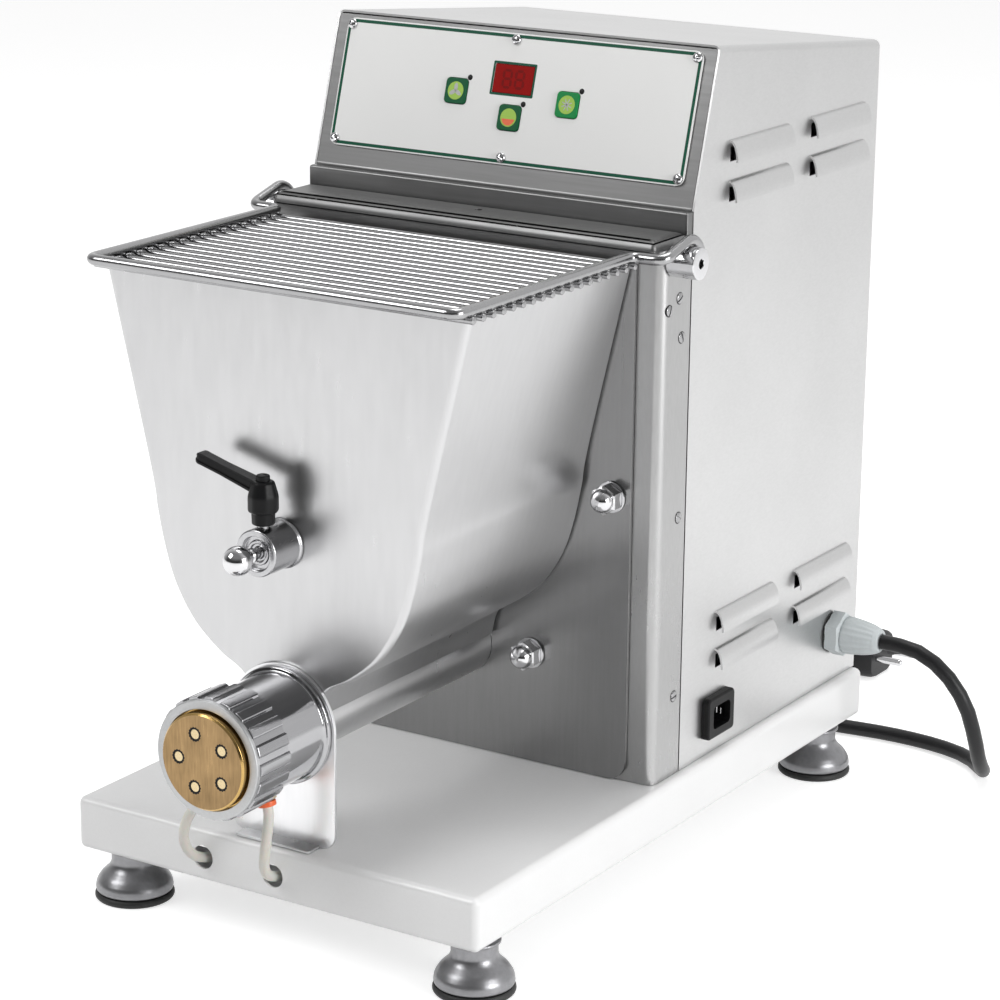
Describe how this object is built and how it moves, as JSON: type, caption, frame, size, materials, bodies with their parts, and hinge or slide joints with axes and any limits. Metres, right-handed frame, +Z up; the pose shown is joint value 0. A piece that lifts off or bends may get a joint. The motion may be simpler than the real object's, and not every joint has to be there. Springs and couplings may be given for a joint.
{
  "type": "electric pasta maker",
  "caption": "Table-top electric pasta extruder: steel casing, tapered mixing hopper under a hinged wire guard, ribbed ring nut holding a brass die, sloping control panel",
  "frame": {"origin": "centre of the machine's footprint, from the die's face to the rear hose tails, on the table", "axes": "+X to the machine's right, +Y to its back, +Z up"},
  "size_m": [0.3613, 0.6685, 0.4658],
  "materials": {
    "brushed_steel": "brushed",
    "dark_steel": "satin",
    "polished_steel": "polished",
    "turned_aluminium": "turned",
    "brass": "brushed",
    "white_paint": "satin",
    "black_plastic": "matt",
    "black_rubber": "matt",
    "cord_black": "matt",
    "cast_grey": "painted",
    "clear_hose": "translucent",
    "collar_orange": "gloss",
    "button_green": "satin",
    "display_red": "gloss",
    "board_green": "matt",
    "gland_grey": "matt"
  },
  "bodies": {
    "frame": {"auger_bearing": "cast_grey", "base_tray": "white_paint", "cable_gland": "gland_grey", "control_board": "board_green", "control_fascia": "dark_steel", "control_plate": "white_paint", "cord_coil": "cord_black", "die_head": "polished_steel", "display_window": "display_red", "dome_nut_lower_left": "polished_steel", "dome_nut_lower_right": "polished_steel", "dome_nut_upper_left": "polished_steel", "dome_nut_upper_right": "polished_steel", "drive_belt": "black_rubber", "extrusion_barrel": "brushed_steel", "foot_front_left": "turned_aluminium", "foot_front_right": "turned_aluminium", "foot_pad_front_left": "black_rubber", "foot_pad_front_right": "black_rubber", "foot_pad_rear_left": "black_rubber", "foot_pad_rear_right": "black_rubber", "foot_rear_left": "turned_aluminium", "foot_rear_right": "turned_aluminium", "front_frame": "brushed_steel", "front_plate": "brushed_steel", "gearbox_case": "cast_grey", "hopper": "brushed_steel", "hose_collar_right": "collar_orange", "hose_fitting_left": "brushed_steel", "hose_fitting_right": "brushed_steel", "hose_left": "clear_hose", "hose_right": "clear_hose", "housing_cover": "brushed_steel", "mains_cord": "cord_black", "mains_plug": "cord_black", "mixer_bearing": "cast_grey", "motor_body": "cast_grey", "outlet": "black_plastic", "pin_hub": "polished_steel", "rear_barb_left": "brass", "rear_barb_right": "brass", "rear_panel": "brushed_steel", "safety_switch": "black_plastic", "shelf": "dark_steel", "support_stand": "polished_steel"},
    "guard": {"guard_grille": "brushed_steel", "hinge_boss_left": "polished_steel", "hinge_boss_right": "polished_steel"},
    "die": {"die_body": "brass"},
    "ring": {"ring_nut": "turned_aluminium"},
    "pin": {"pull_pin": "polished_steel"},
    "lever": {"clamp_lever": "black_plastic"},
    "mixer": {"mixing_shaft": "brushed_steel", "mixer_drive": "brushed_steel"},
    "auger": {"auger": "brushed_steel", "auger_drive": "brushed_steel"},
    "rotor": {"motor_rotor": "dark_steel"},
    "mixing_button": {"button_mixing": "button_green"},
    "start_stop_button": {"button_start_stop": "button_green"},
    "extrusion_button": {"button_extrusion": "button_green"}
  },
  "joints": [
    {"name": "guard_hinge", "type": "hinge", "parent": "frame", "child": "guard", "pos_m": [0, -0.005, 0.3576], "axis": [-1, 0, 0], "range_deg": [0, 100]},
    {"name": "die_slide", "type": "slide", "parent": "frame", "child": "die", "axis": [0, -1, 0], "range_m": [0, 0.018]},
    {"name": "ring_spin", "type": "hinge", "parent": "die", "child": "ring", "pos_m": [0, -0.239, 0.1271], "axis": [0, -1, 0], "range_deg": [0, 2160]},
    {"name": "pin_slide", "type": "slide", "parent": "frame", "child": "pin", "axis": [0, -1, 0], "range_m": [0, 0.022]},
    {"name": "lever_turn", "type": "hinge", "parent": "frame", "child": "lever", "pos_m": [0, -0.203, 0.2391], "axis": [0, 0, 1], "range_deg": [0, 120]},
    {"name": "rotor_spin", "type": "hinge", "parent": "frame", "child": "rotor", "pos_m": [0, 0.144, 0.1271], "axis": [0, 1, 0], "continuous": true},
    {"name": "auger_spin", "type": "hinge", "parent": "frame", "child": "auger", "pos_m": [0, -0.101, 0.1271], "axis": [0, 1, 0], "continuous": true},
    {"name": "mixer_spin", "type": "hinge", "parent": "frame", "child": "mixer", "pos_m": [0, -0.101, 0.2256], "axis": [0, 1, 0], "continuous": true},
    {"name": "mixing_press", "type": "slide", "parent": "frame", "child": "mixing_button", "axis": [0, 0.9596, -0.2815], "range_m": [0, 0.0006], "stiffness_N_per_m": 1500, "springref_m": -0.0008},
    {"name": "start_stop_press", "type": "slide", "parent": "frame", "child": "start_stop_button", "axis": [0, 0.9596, -0.2815], "range_m": [0, 0.0006], "stiffness_N_per_m": 1500, "springref_m": -0.0008},
    {"name": "extrusion_press", "type": "slide", "parent": "frame", "child": "extrusion_button", "axis": [0, 0.9596, -0.2815], "range_m": [0, 0.0006], "stiffness_N_per_m": 1500, "springref_m": -0.0008}
  ],
  "couplings": [
    {"joint": "ring_spin", "follows": "die_slide", "rad_per_m": 2094.4},
    {"joint": "auger_spin", "follows": "rotor_spin", "ratio": 0.05},
    {"joint": "mixer_spin", "follows": "rotor_spin", "ratio": 0.028571}
  ]
}
